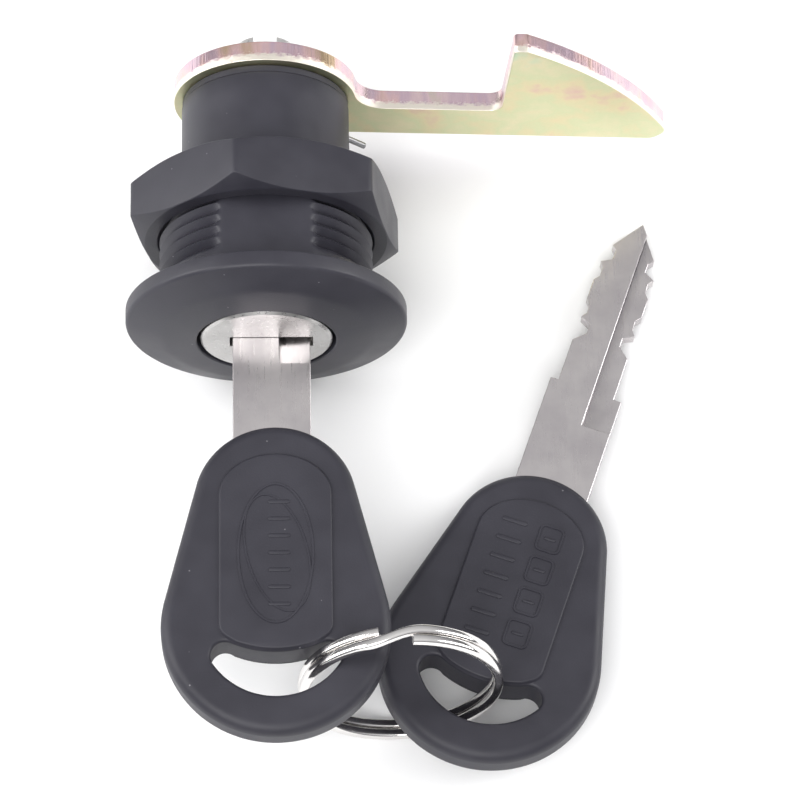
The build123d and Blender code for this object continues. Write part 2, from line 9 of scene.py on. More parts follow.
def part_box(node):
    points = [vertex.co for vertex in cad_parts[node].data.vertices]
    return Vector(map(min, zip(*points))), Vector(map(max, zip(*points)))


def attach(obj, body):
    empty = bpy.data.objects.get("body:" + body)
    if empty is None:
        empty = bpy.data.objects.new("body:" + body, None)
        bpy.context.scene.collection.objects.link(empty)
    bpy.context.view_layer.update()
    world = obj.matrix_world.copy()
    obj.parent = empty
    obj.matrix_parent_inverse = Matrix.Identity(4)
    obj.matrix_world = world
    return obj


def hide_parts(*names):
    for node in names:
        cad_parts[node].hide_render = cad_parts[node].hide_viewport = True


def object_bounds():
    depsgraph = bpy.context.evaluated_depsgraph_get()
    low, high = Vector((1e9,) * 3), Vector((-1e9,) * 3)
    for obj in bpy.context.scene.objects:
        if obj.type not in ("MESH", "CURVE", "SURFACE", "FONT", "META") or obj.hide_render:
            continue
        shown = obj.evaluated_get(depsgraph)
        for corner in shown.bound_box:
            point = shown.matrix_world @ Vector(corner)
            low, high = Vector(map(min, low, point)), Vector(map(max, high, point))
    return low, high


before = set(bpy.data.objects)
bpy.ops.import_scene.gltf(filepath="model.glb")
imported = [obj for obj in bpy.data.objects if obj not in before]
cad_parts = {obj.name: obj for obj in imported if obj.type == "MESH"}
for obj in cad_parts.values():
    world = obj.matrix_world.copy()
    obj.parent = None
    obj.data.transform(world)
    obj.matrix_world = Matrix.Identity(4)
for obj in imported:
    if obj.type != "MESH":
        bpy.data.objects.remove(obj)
cad_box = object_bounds()

# Panel-mounted cam lock with two keys on a split ring. Lengths here are in millimetres, in the CAD's frame:
# the lock's axis is Y, the front faces -Y, the flange's back face is y = 0 and the cam's arm runs along +X.
MM = 0.001
BACK_PLATE = 0.05           # how far a relief piece is sunk into the face that it stands on


def node_box(node):
    """A CAD node's lowest and highest corners, in millimetres."""
    low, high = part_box(node)
    return [c / MM for c in low], [c / MM for c in high]


# ------------------------------------------------------------------ mesh tools
def mesh_piece(name, points, faces, sharp_angle=35.0):
    mesh = bpy.data.meshes.new(name)
    mesh.from_pydata([tuple(c * MM for c in p) for p in points], [], faces)
    mesh.update()
    piece = bpy.data.objects.new(name, mesh)
    bpy.context.scene.collection.objects.link(piece)
    clean = bmesh.new()
    clean.from_mesh(mesh)
    bmesh.ops.remove_doubles(clean, verts=clean.verts, dist=1e-7)
    bmesh.ops.recalc_face_normals(clean, faces=clean.faces)
    clean.to_mesh(mesh)
    clean.free()
    mesh.shade_smooth()
    mesh.set_sharp_from_angle(angle=math.radians(sharp_angle))
    return piece


def weighted(piece):
    """Lets the large flat faces keep flat shading beside their rounded edges."""
    modifier = piece.modifiers.new("weighted", "WEIGHTED_NORMAL")
    modifier.keep_sharp = True
    return piece


def arc(centre, radius, start, end, steps):
    """Points on a circle from one angle to another, in degrees."""
    angles = [math.radians(start + (end - start) * i / steps) for i in range(steps + 1)]
    return [(centre[0] + radius * math.cos(a), centre[1] + radius * math.sin(a)) for a in angles]


def rotated(x, y, angle):
    return (x * math.cos(angle) - y * math.sin(angle), x * math.sin(angle) + y * math.cos(angle))


def rounded(corners, steps=5):
    """An open line through (x, y, radius) corners, with each inner corner rounded to its radius."""
    line = []
    for i, (x, y, radius) in enumerate(corners):
        if radius == 0 or i == 0 or i == len(corners) - 1:
            line.append((x, y))
            continue
        tip = Vector((x, y))
        back = (Vector(corners[i - 1][:2]) - tip).normalized()
        ahead = (Vector(corners[i + 1][:2]) - tip).normalized()
        half = back.angle(ahead) / 2
        centre = tip + (back + ahead).normalized() * radius / math.sin(half)
        first = tip + back * radius / math.tan(half) - centre
        last = tip + ahead * radius / math.tan(half) - centre
        turn = (math.pi - 2 * half) * (1 if first.x * last.y - first.y * last.x > 0 else -1)
        for k in range(steps + 1):
            spoke = Matrix.Rotation(turn * k / steps, 2) @ first
            line.append((centre.x + spoke.x, centre.y + spoke.y))
    return line


def turned(name, section, columns, sharp_angle=35.0):
    """A piece round the Y axis. section(angle) gives its closed outline there as (radius, y) points."""
    points = []
    for angle in columns:
        points += [(r * math.cos(angle), y, r * math.sin(angle)) for r, y in section(angle)]
    rows = len(points) // len(columns)
    faces = []
    for c in range(len(columns)):
        n = (c + 1) % len(columns)
        for r in range(rows):
            s = (r + 1) % rows
            faces.append((c * rows + r, c * rows + s, n * rows + s, n * rows + r))
    return mesh_piece(name, points, faces, sharp_angle)


def outward(loop):
    """The direction to the right at each point of a closed line, scaled so that offsets keep their width."""
    normals = []
    for i, point in enumerate(loop):
        before = Vector(point) - Vector(loop[i - 1])
        after = Vector(loop[(i + 1) % len(loop)]) - Vector(point)
        a = Vector((before.y, -before.x)).normalized()
        b = Vector((after.y, -after.x)).normalized()
        bisector = (a + b).normalized()
        normals.append(bisector / max(bisector.dot(a), 0.5))
    return normals


def plate_mesh(loops, profile, place, closed=True):
    """Points and faces of a flat piece. The first loop runs anticlockwise round it, the others clockwise
    round its holes. The profile goes from the lower face to the upper as (inset, height)."""
    points, faces = [], []
    starts = []
    for loop in loops:
        normals = outward(loop)
        starts.append(len(points))
        for inset, height in profile:
            for point, normal in zip(loop, normals):
                edge = Vector(point) - normal * inset
                points.append(place(edge.x, edge.y, height))
        size = len(loop)
        for level in range(len(profile) - 1):
            base = starts[-1] + level * size
            for i in range(size):
                j = (i + 1) % size
                faces.append((base + i, base + j, base + size + j, base + size + i))
    for level in ((0, len(profile) - 1) if closed else (len(profile) - 1,)):
        rims, flat = [], []
        for loop, start in zip(loops, starts):
            normals = outward(loop)
            rims.append([(Vector(p) - n * profile[level][0]).to_3d() for p, n in zip(loop, normals)])
            flat += [start + level * len(loop) + i for i in range(len(loop))]
        faces += [tuple(flat[i] for i in triangle) for triangle in tessellate_polygon(rims)]
    return points, faces


def edge_profile(half, radius, steps=6, lower=None):
    """A symmetrical plate profile with rounded edges. lower gives the bottom edge another radius."""
    low = radius if lower is None else lower
    quarter = [math.radians(90 * i / steps) for i in range(steps + 1)]
    bottom = [(low * (1 - math.sin(a)), -half + low * (1 - math.cos(a))) for a in quarter]
    top = [(radius * (1 - math.cos(a)), half - radius * (1 - math.sin(a))) for a in quarter]
    return bottom + top


def add_shell(target, shell):
    """Adds (points, faces) to another pair."""
    offset = len(target[0])
    target[0].extend(shell[0])
    target[1].extend(tuple(i + offset for i in face) for face in shell[1])


def resampled(loop, step):
    """A closed line with points added so that none of its runs is longer than step."""
    dense = []
    for i, point in enumerate(loop):
        a, b = Vector(point), Vector(loop[(i + 1) % len(loop)])
        count = max(1, math.ceil((b - a).length / step))
        dense += [tuple(a.lerp(b, k / count)) for k in range(count)]
    return dense


def soften(node, name, width, segments=2):
    """A copy of a CAD node with its sharp edges rounded."""
    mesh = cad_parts[node].data.copy()
    piece = bpy.data.objects.new(name, mesh)
    bpy.context.scene.collection.objects.link(piece)
    work = bmesh.new()
    work.from_mesh(mesh)
    bmesh.ops.remove_doubles(work, verts=work.verts, dist=1e-6)
    bmesh.ops.dissolve_limit(work, angle_limit=math.radians(1.0), verts=work.verts, edges=work.edges)
    work.to_mesh(mesh)
    work.free()
    mesh.shade_smooth()
    mesh.set_sharp_from_angle(angle=math.radians(20))
    bevel = piece.modifiers.new("soft edges", "BEVEL")
    bevel.width = width * MM
    bevel.segments = segments
    bevel.limit_method = "ANGLE"
    bevel.angle_limit = math.radians(40)
    bevel.harden_normals = True
    bevel.use_clamp_overlap = True
    return piece


# ------------------------------------------------------------------ materials
def add(tree, kind, settings=None, **inputs):
    """A shader node with its properties and inputs set. An input may be a value or another node's output."""
    item = tree.nodes.new(kind)
    for key, value in (settings or {}).items():
        setattr(item, key, value)
    for key, value in inputs.items():
        socket = item.inputs[int(key[1:])] if key[0] == "i" and key[1:].isdigit() else item.inputs[key]
        if isinstance(value, bpy.types.NodeSocket):
            tree.links.new(value, socket)
        else:
            socket.default_value = value
    return item


def new_material(name, roughness, metallic=0.0, colour=(0.5, 0.5, 0.5)):
    material = bpy.data.materials.new(name)
    material.use_nodes = True
    shader = material.node_tree.nodes["Principled BSDF"]
    shader.inputs["Base Color"].default_value = (*colour, 1)
    shader.inputs["Roughness"].default_value = roughness
    shader.inputs["Metallic"].default_value = metallic
    return material, material.node_tree, shader


def placed_coordinates(tree, stretch=(1, 1, 1)):
    """Object coordinates in millimetres, stretched along the axes."""
    source = add(tree, "ShaderNodeTexCoord")
    mapping = add(tree, "ShaderNodeMapping", Vector=source.outputs["Object"])
    mapping.inputs["Scale"].default_value = [s / MM for s in stretch]
    return mapping.outputs["Vector"]


def noise_at(tree, vector, scale, detail=3.0, roughness=0.55):
    """Noise with about scale features to the millimetre."""
    return add(tree, "ShaderNodeTexNoise", Vector=vector, Scale=scale, Detail=detail, Roughness=roughness)


def ramp(tree, factor, stops):
    """A colour ramp from (position, colour) stops."""
    item = add(tree, "ShaderNodeValToRGB", Fac=factor)
    elements = item.color_ramp.elements
    while len(elements) < len(stops):
        elements.new(0.5)
    for element, (position, colour) in zip(elements, stops):
        element.position = position
        element.color = (*colour, 1)
    return item.outputs["Color"]


def remap(tree, value, low, high, to_low, to_high):
    item = add(tree, "ShaderNodeMapRange", Value=value)
    for key, number in (("From Min", low), ("From Max", high), ("To Min", to_low), ("To Max", to_high)):
        item.inputs[key].default_value = number
    return item.outputs["Result"]


def bump(tree, shader, height, depth, strength=1.0):
    """A bump depth millimetres deep."""
    item = add(tree, "ShaderNodeBump", Height=height, Strength=strength, Distance=depth * MM)
    tree.links.new(item.outputs["Normal"], shader.inputs["Normal"])


def moulded_plastic(name, dark, light, roughness, grain_scale=5.0, grain_depth=0.012, dust=0.045):
    """Satin black moulding: slow tone changes, a fine spark-eroded grain and a few specks of dust."""
    material, tree, shader = new_material(name, roughness)
    shader.inputs["Specular IOR Level"].default_value = 0.36
    vector = placed_coordinates(tree)
    cloud = noise_at(tree, vector, 0.18, 2.0)
    tone = ramp(tree, cloud.outputs["Fac"], [(0.3, dark), (0.7, light)])
    cells = add(tree, "ShaderNodeTexVoronoi", Vector=vector, Scale=0.55)
    near = add(tree, "ShaderNodeMath", {"operation": "LESS_THAN"}, i0=cells.outputs["Distance"], i1=dust)
    picked = add(tree, "ShaderNodeSeparateColor", Color=cells.outputs["Color"])
    rare = add(tree, "ShaderNodeMath", {"operation": "GREATER_THAN"}, i0=picked.outputs["Red"], i1=0.6)
    speck = add(tree, "ShaderNodeMath", {"operation": "MULTIPLY"}, i0=near.outputs[0], i1=rare.outputs[0])
    mix = add(tree, "ShaderNodeMix", {"data_type": "RGBA"}, Factor=speck.outputs[0])
    tree.links.new(tone, mix.inputs[6])
    mix.inputs[7].default_value = (0.16, 0.155, 0.17, 1)
    tree.links.new(mix.outputs[2], shader.inputs["Base Color"])
    grain = noise_at(tree, vector, grain_scale, 4.0, 0.6)
    tree.links.new(remap(tree, cloud.outputs["Fac"], 0.3, 0.7, roughness - 0.05, roughness + 0.07),
                   shader.inputs["Roughness"])
    bump(tree, shader, grain.outputs["Fac"], grain_depth)
    return material


def plated_metal(name, colour, tarnish, roughness, brush=(1, 1, 1), grain=2.2, depth=0.006, stain_scale=0.25):
    """Plated metal with faint stains, brushed or scratched along the axis that brush stretches least."""
    material, tree, shader = new_material(name, roughness, 1.0)
    stains = noise_at(tree, placed_coordinates(tree), stain_scale, 4.0, 0.6)
    tree.links.new(ramp(tree, stains.outputs["Fac"], [(0.35, tarnish), (0.65, colour)]),
                   shader.inputs["Base Color"])
    lines = noise_at(tree, placed_coordinates(tree, brush), grain, 5.0, 0.65)
    tree.links.new(remap(tree, lines.outputs["Fac"], 0.3, 0.7, roughness - 0.07, roughness + 0.1),
                   shader.inputs["Roughness"])
    bump(tree, shader, lines.outputs["Fac"], depth)
    return material


def zinc_face():
    """Yellow-passivated zinc: pale yellow-green with pink and blue-green patches."""
    material, tree, shader = new_material("zinc_face", 0.36, 1.0)
    vector = placed_coordinates(tree)
    warp = noise_at(tree, vector, 0.16, 3.0, 0.6)
    colours = ramp(tree, warp.outputs["Fac"], [
        (0.28, (0.72, 0.50, 0.44)), (0.40, (0.74, 0.66, 0.42)), (0.52, (0.66, 0.68, 0.43)),
        (0.64, (0.74, 0.69, 0.46)), (0.76, (0.58, 0.69, 0.50))])
    tree.links.new(colours, shader.inputs["Base Color"])
    grain = noise_at(tree, vector, 3.0, 5.0, 0.65)
    tree.links.new(remap(tree, grain.outputs["Fac"], 0.3, 0.7, 0.28, 0.46), shader.inputs["Roughness"])
    bump(tree, shader, grain.outputs["Fac"], 0.010)
    return material


def zinc_edge(front_y, thickness):
    """The cam's sheared edge: pink to purple plating, drawn lines across it and a torn bright band."""
    material, tree, shader = new_material("zinc_edge", 0.3, 1.0)
    vector = placed_coordinates(tree)
    patches = noise_at(tree, placed_coordinates(tree, (1, 0.3, 1)), 0.22, 3.0, 0.6)
    colours = ramp(tree, patches.outputs["Fac"], [
        (0.30, (0.62, 0.46, 0.30)), (0.42, (0.80, 0.56, 0.56)), (0.52, (0.66, 0.50, 0.58)),
        (0.62, (0.78, 0.60, 0.62)), (0.74, (0.58, 0.60, 0.42))])
    place = add(tree, "ShaderNodeSeparateXYZ", Vector=vector)
    torn = noise_at(tree, placed_coordinates(tree, (1, 2, 1)), 1.6, 6.0, 0.75)
    edge = add(tree, "ShaderNodeMath", {"operation": "ADD"}, i0=place.outputs["Y"],
               i1=remap(tree, torn.outputs["Fac"], 0.3, 0.7, -0.35, 0.35))
    band = remap(tree, edge.outputs[0], front_y + 0.25 * thickness, front_y + 0.42 * thickness, 1.0, 0.0)
    mix = add(tree, "ShaderNodeMix", {"data_type": "RGBA"}, Factor=band)
    tree.links.new(colours, mix.inputs[6])
    mix.inputs[7].default_value = (0.90, 0.84, 0.74, 1)
    tree.links.new(mix.outputs[2], shader.inputs["Base Color"])
    drawn = noise_at(tree, placed_coordinates(tree, (1, 0.06, 1)), 2.6, 4.0, 0.6)
    height = add(tree, "ShaderNodeMix", {"data_type": "FLOAT"}, Factor=band)
    tree.links.new(drawn.outputs["Fac"], height.inputs[2])
    tree.links.new(torn.outputs["Fac"], height.inputs[3])
    tree.links.new(remap(tree, band, 0.0, 1.0, 0.26, 0.42), shader.inputs["Roughness"])
    bump(tree, shader, height.outputs[0], 0.05)
    return material


def floor_material():
    material, tree, shader = new_material("paper_floor", 0.85, 0.0, (0.93, 0.93, 0.93))
    fibres = noise_at(tree, placed_coordinates(tree), 1.5, 3.0)
    bump(tree, shader, fibres.outputs["Fac"], 0.01)
    shader.inputs["Specular IOR Level"].default_value = 0.1
    return material


nylon = moulded_plastic("black_nylon", (0.027, 0.026, 0.035), (0.038, 0.037, 0.048), 0.42)
key_plastic = moulded_plastic("key_plastic", (0.025, 0.024, 0.032), (0.034, 0.033, 0.043), 0.48, 4.0, 0.016)
nickel = plated_metal("nickel_zinc", (0.60, 0.59, 0.58), (0.50, 0.49, 0.48), 0.30, (1, 1, 1), 2.6, 0.008)
blade_metal = plated_metal("nickel_blade", (0.60, 0.57, 0.57), (0.52, 0.49, 0.50), 0.30,
                           (1, 0.05, 1), 3.0, 0.005)
ring_metal = plated_metal("polished_ring", (0.84, 0.82, 0.80), (0.78, 0.76, 0.75), 0.13,
                          (1, 1, 1), 2.0, 0.002)
wire_metal = plated_metal("spring_wire", (0.44, 0.44, 0.45), (0.34, 0.34, 0.35), 0.34, (1, 1, 1), 3.0, 0.008)
wafer_metal = plated_metal("wafer_brass", (0.80, 0.62, 0.30), (0.66, 0.49, 0.24), 0.34,
                           (1, 0.1, 1), 3.0, 0.006)


def dress(piece, *materials):
    piece.data.materials.clear()
    for material in materials:
        piece.data.materials.append(material)


# ------------------------------------------------------------------ sizes shared with the CAD
flange_radius, thread_radius, thread_depth, thread_pitch = 14.4, 11.0, 0.75, 1.28
thread_length, thread_end, thread_flat = 14.3, 0.4, 10.0
barrel_radius, head_bore, core_bore, plug_face, head_seat = 8.75, 7.1, 5.85, -3.42, -0.6
bush_length = 0.8           # of the rear bush, between the barrel and the cam
barrel_end = node_box("rear_bush")[1][1] - bush_length
cam_low, cam_high = node_box("cam")
cam_front, cam_back = cam_low[1], cam_high[1]
floor_z = node_box("housing")[0][2]
THREAD_TURNS = 9
FLAT_EDGE = math.sqrt(thread_radius ** 2 - thread_flat ** 2)
WINDOW_ANGLE = math.radians(-3.9)       # where the torsion spring's leg comes out of the barrel
WINDOW_HALF = math.radians(5.2)
WINDOW_DEPTH = 6.6                      # the window's floor, from the axis
WINDOW_FRONT, WINDOW_BACK = 19.72, 20.88


# ------------------------------------------------------------------ housing
def soft_least(a, b, blend):
    """The smaller of two lengths, with the crease between them rounded over blend."""
    mix = max(blend - abs(a - b), 0) / blend
    return min(a, b) - mix * mix * blend / 4


def smooth_step(low, high, value):
    t = max(0.0, min(1.0, (value - low) / (high - low)))
    return t * t * (3 - 2 * t)


def thread_profile(angle):
    """The threaded stretch as (radius, y), from the flange to the thread's end, with soft crests and roots.
    The grooves run out softly at the two flats."""
    line = []
    steps = 12
    first = thread_length - thread_end - THREAD_TURNS * thread_pitch
    depth = thread_depth * smooth_step(FLAT_EDGE - 0.3, FLAT_EDGE + 1.3, abs(thread_radius * math.cos(angle)))
    for i in range(THREAD_TURNS * steps + 1):
        y = first + thread_pitch * i / steps
        phase = (i % steps) / steps
        ridge = abs(2 * phase - 1) ** 0.9
        line.append((thread_radius - depth * (1 - ridge), y))
    return [(thread_radius, first - 0.3)] + line[1:]


def housing_section(angle):
    flat = thread_flat / max(abs(math.sin(angle)), 1e-6)
    neck = soft_least(thread_radius, flat, 0.3)
    thread = [(soft_least(r, flat, 0.35), y) for r, y in thread_profile(angle)]
    front = rounded([(head_bore, head_seat, 0), (head_bore, plug_face, 0.18), (10.75, -2.9, 6.0),
                     (flange_radius, -1.7, 0.5), (flange_radius, 0, 0.15), (neck, 0, 0.25),
                     (neck, 0.9, 0)], 6)
    window = abs(math.remainder(angle - WINDOW_ANGLE, 2 * math.pi)) < WINDOW_HALF
    well = WINDOW_DEPTH if window else barrel_radius
    end = rounded([(barrel_radius + 0.02, thread_length, 0), (barrel_radius, WINDOW_FRONT - 0.01, 0)])
    slot = [(well, WINDOW_FRONT + 0.01), (well, WINDOW_BACK - 0.01)]
    tail = rounded([(barrel_radius, WINDOW_BACK + 0.01, 0), (barrel_radius, barrel_end, 0.15),
                    (core_bore, barrel_end, 0), (core_bore, head_seat, 0)], 3)
    lead = [(soft_least(thread_radius - 0.45, flat, 0.3), thread_length - 0.12),
            (soft_least(thread_radius - 0.6, flat, 0.3), thread_length)]
    return front + thread + lead + end + slot + tail


def housing():
    columns = [2 * math.pi * i / 480 for i in range(480)]
    piece = turned("lock_housing", housing_section, columns, 32.0)
    dress(piece, nylon)
    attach(piece, "housing")
    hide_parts("housing")


# ------------------------------------------------------------------ nut
def nut():
    low, high = node_box("hex_nut")
    front, back = low[1], high[1]
    apothem, phase, slope = 12.63, math.radians(42.3), math.tan(math.radians(30))
    mouth, bore = 0.9, 10.33

    def section(angle):
        turn = (angle - phase) % (math.pi / 3) - math.pi / 6
        side = apothem / math.cos(turn)
        side = soft_least(side, apothem / math.cos(math.pi / 6) - 0.06, 0.12)
        drop = max(side - apothem, 0.02) * slope
        return rounded([(bore, front + mouth, 0), (bore + mouth, front, 0.12), (apothem - 0.12, front, 0.25),
                        (side, front + drop, 0.16), (side, back - drop, 0.16), (apothem - 0.12, back, 0.25),
                        (bore + mouth, back, 0.12), (bore, back - mouth, 0)], 4)

    columns = [2 * math.pi * i / 432 for i in range(432)]
    piece = turned("nut_body", section, columns, 45.0)
    dress(piece, nylon)
    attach(piece, "nut")
    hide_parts("hex_nut")


# ------------------------------------------------------------------ cam
def cam():
    droop = math.radians(-3)
    middle = (cam_front + cam_back) / 2
    ring_radius, top, bottom, fillet = 9.6, -0.4, -5.85, 3.4
    catch, hook_top = 25.0, 12.4
    upper = (math.sqrt((ring_radius + fillet) ** 2 - (top + fillet) ** 2), top + fillet)
    lower = (math.sqrt((ring_radius + fillet) ** 2 - (bottom - fillet) ** 2), bottom - fillet)
    upper_angle = math.degrees(math.atan2(upper[1], upper[0]))
    lower_angle = math.degrees(math.atan2(lower[1], lower[0]))
    nose, hook = Vector((43.3, -4.2)), Vector((26.4, hook_top))
    chord = hook - nose
    sagitta = 1.75
    radius = (chord.length ** 2 / 4 + sagitta ** 2) / (2 * sagitta)
    centre = nose + chord / 2 - Vector((chord.y, -chord.x)).normalized() * (radius - sagitta)
    first = math.degrees(math.atan2(nose.y - centre.y, nose.x - centre.x))
    last = math.degrees(math.atan2(hook.y - centre.y, hook.x - centre.x))
    curve = [(x, y, 0) for x, y in arc(centre, radius, first, last, 16)[1:-1]]
    ends = rounded([(lower[0], bottom, 0), (42.0, bottom, 1.3), (*nose, 1.3), *curve, (*hook, 0.35),
                    (catch, hook_top, 0.5), (catch, top, 1.3), (upper[0], top, 0)], 6)
    outline = (arc(lower, fillet, 180 + lower_angle, 90, 10)[:-1] + ends[:-1]
               + arc(upper, fillet, 270, 180 + upper_angle, 10)[:-1]
               + arc((0, 0), ring_radius, upper_angle, 360 + lower_angle, 110)[:-1])
    outline = resampled(outline, 0.6)
    hole = arc((0, 0), 3.22, 358, 2, 60)[:-1]
    hole = [(max(-2.87, min(2.87, x)), y) for x, y in hole]
    hole = [rotated(x, y, -droop) for x, y in hole]

    def place(x, y, z):
        across, up = rotated(x, y, droop)
        return (across, middle + z, up)

    profile = edge_profile((cam_back - cam_front) / 2, 0.12, 3, 0.08)
    points, faces = plate_mesh([outline, hole], profile, place)
    piece = mesh_piece("cam_plate", points, faces, 50.0)
    dress(piece, zinc_face(), zinc_edge(cam_front, cam_back - cam_front))
    for polygon in piece.data.polygons:
        polygon.material_index = 0 if abs(polygon.normal.y) > 0.75 else 1
    weighted(piece)
    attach(piece, "plug")
    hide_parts("cam")


# ------------------------------------------------------------------ keys
BOW_TOP, BOW_END, BOW_SPREAD = 8.15, 11.35, 13.05
BOW_HALF, PANEL_HEIGHT = 2.0, 0.35
SLOT_RADIUS, SLOT_FILLET, BOSS_RADIUS, BOSS_EDGE = 7.4, 1.42, 11.0, 24.1
PANEL_HALF = 5.65


def bow_outline():
    lean = math.degrees(math.asin((BOW_END - BOW_TOP) / BOW_SPREAD))
    return (arc((0, -BOW_TOP), BOW_TOP, lean, 180 - lean, 60)
            + arc((0, -BOW_TOP - BOW_SPREAD), BOW_END, 180 - lean, 360 + lean, 90))


def slot_outline():
    end_y, boss_y = -BOW_TOP - BOW_SPREAD, BOSS_RADIUS - BOSS_EDGE
    far, near = SLOT_RADIUS - SLOT_FILLET, BOSS_RADIUS + SLOT_FILLET
    gap = boss_y - end_y
    y = (far ** 2 - near ** 2 + gap ** 2) / (2 * gap)
    x = math.sqrt(far ** 2 - y ** 2)
    out = math.degrees(math.atan2(y, x))
    up = math.degrees(math.atan2(gap - y, x))
    return (arc((0, end_y), SLOT_RADIUS, out, -180 - out, 48)[:-1]
            + arc((-x, end_y + y), SLOT_FILLET, 180 - out, up, 16)[:-1]
            + arc((0, boss_y), BOSS_RADIUS, -180 + up, -up, 36)[:-1]
            + arc((x, end_y + y), SLOT_FILLET, 180 - up, out, 16)[:-1])


def panel_outline():
    """The raised panel: straight sides, an arched top and a bottom that follows the boss."""
    half, corner = PANEL_HALF, 1.6
    top, arch = -3.3, 4.4
    boss_y, boss = BOSS_RADIUS - BOSS_EDGE, BOSS_RADIUS - 0.12
    low = boss_y - math.sqrt(boss ** 2 - (half - corner) ** 2)
    crown = [(half * math.cos(math.radians(a)), top - arch + arch * math.sin(math.radians(a)))
             for a in range(0, 181, 6)]
    side = math.degrees(math.asin((half - corner) / boss))
    foot = arc((0, boss_y), boss, 270 - side, 270 + side, 20)
    left = arc((-half + corner, low + 1.9), corner, 180, 240, 5)
    right = arc((half - corner, low + 1.9), corner, 300, 360, 5)
    return crown + left + foot + right


def band(loop, width, height, place, base):
    """A raised line that follows a closed loop, as a shell."""
    centre = [Vector(p) for p in loop]
    normals = outward(loop)
    points, faces = [], []
    shape = [(-width / 2, -BACK_PLATE), (-width / 4, height), (width / 4, height), (width / 2, -BACK_PLATE)]
    for point, normal in zip(centre, normals):
        for side, rise in shape:
            spot = point + normal * side
            points.append(place(spot.x, spot.y, base + rise))
    count, rows = len(centre), len(shape)
    for i in range(count):
        j = (i + 1) % count
        for k in range(rows - 1):
            faces.append((i * rows + k, i * rows + k + 1, j * rows + k + 1, j * rows + k))
    return points, faces


def bar(x, y, length, width, height, place, base, turn=0.0):
    """A raised bar with round ends, as a shell."""
    half = length / 2 - width / 2
    loop = arc((half, 0), width / 2, -90, 90, 6) + arc((-half, 0), width / 2, 90, 270, 6)
    c, s = math.cos(math.radians(turn)), math.sin(math.radians(turn))
    loop = [(x + px * c - py * s, y + px * s + py * c) for px, py in loop]
    profile = [(0, base - BACK_PLATE), (0.03, base + height * 0.7), (0.09, base + height)]
    return plate_mesh([loop], profile, place, closed=False)


def key_bow(name, node, body, place):
    shape = ([], [])
    outline = resampled(bow_outline(), 0.7)
    outer = edge_profile(BOW_HALF, 1.2, 8)
    points, faces = plate_mesh([outline], outer, place, closed=False)
    # the outer edge, the slot's wall, and two faces between them
    size = len(outline)
    slot = slot_outline()
    rim = edge_profile(BOW_HALF, 0.4, 5)
    faces = [f for f in faces if len(f) == 4]
    slot_points, slot_faces = plate_mesh([slot], rim, place, closed=False)
    slot_faces = [f for f in slot_faces if len(f) == 4]
    add_shell(shape, (points, faces))
    offset = len(shape[0])
    add_shell(shape, (slot_points, slot_faces))
    for outer_level, rim_level in ((0, 0), (len(outer) - 1, len(rim) - 1)):
        outer_inset, rim_inset = outer[outer_level][0], rim[rim_level][0]
        rims = [[(Vector(p) - n * outer_inset).to_3d() for p, n in zip(outline, outward(outline))],
                [(Vector(p) - n * rim_inset).to_3d() for p, n in zip(slot, outward(slot))]]
        flat = [outer_level * size + i for i in range(size)]
        flat += [offset + rim_level * len(slot) + i for i in range(len(slot))]
        shape[1].extend(tuple(flat[i] for i in triangle) for triangle in tessellate_polygon(rims))
    for side in (1, -1):
        def face(x, y, z, side=side):
            return place(x, y, side * z)
        base = BOW_HALF
        profile = [(-0.10, base - BACK_PLATE), (-0.02, base + 0.03), (0.05, base + PANEL_HEIGHT * 0.6),
                   (0.12, base + PANEL_HEIGHT * 0.92), (0.24, base + PANEL_HEIGHT)]
        add_shell(shape, plate_mesh([panel_outline()], profile, face, closed=False))
        draw_marks = oval_badge if side == 1 else plain_bars
        for mark in draw_marks(face, base + PANEL_HEIGHT):
            add_shell(shape, mark)
    piece = mesh_piece(name, *shape, sharp_angle=50.0)
    dress(piece, key_plastic)
    weighted(piece)
    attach(piece, body)
    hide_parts(node)


def oval_badge(place, base):
    """A plain oval line with a smaller leaning oval and a row of plain bars in it."""
    middle = -13.95
    lean = math.radians(14)
    turns = [2 * math.pi * i / 96 for i in range(96)]
    oval = [(3.7 * math.cos(a), middle + 7.3 * math.sin(a)) for a in turns]
    inner = [rotated(3.0 * math.cos(a), 6.3 * math.sin(a), lean) for a in turns]
    inner = [(0.15 + x, middle + y) for x, y in inner]
    marks = [band(oval, 0.34, 0.10, place, base), band(inner, 0.26, 0.08, place, base)]
    for i in range(7):
        y = middle + 5.4 - i * 1.8
        marks.append(bar(0.35, y, 2.2, 0.42, 0.10, place, base))
    return marks


def plain_bars(place, base):
    """Plain raised marks: a column of bars beside a column of round-cornered frames."""
    marks = [bar(2.1, -6.4 - 2.15 * i, 2.7, 0.5, 0.12, place, base) for i in range(8)]
    for i in range(4):
        y = -7.2 - 3.7 * i
        left, right, low, high = -3.1, -0.7, y - 1.4, y + 1.4
        frame_line = rounded([(-1.9, low, 0), (right, low, 0.5), (right, high, 0.5), (left, high, 0.5),
                              (left, low, 0.5), (-1.9, low, 0)])[:-1]
        marks.append(band(frame_line, 0.34, 0.12, place, base))
        marks.append(bar(-1.9, y, 1.3, 0.34, 0.12, place, base))
    return marks


def key_1_place(x, y, z):
    bow_middle, bow_top = 0.8, -13.4
    return (bow_middle + x, bow_top + y, z)


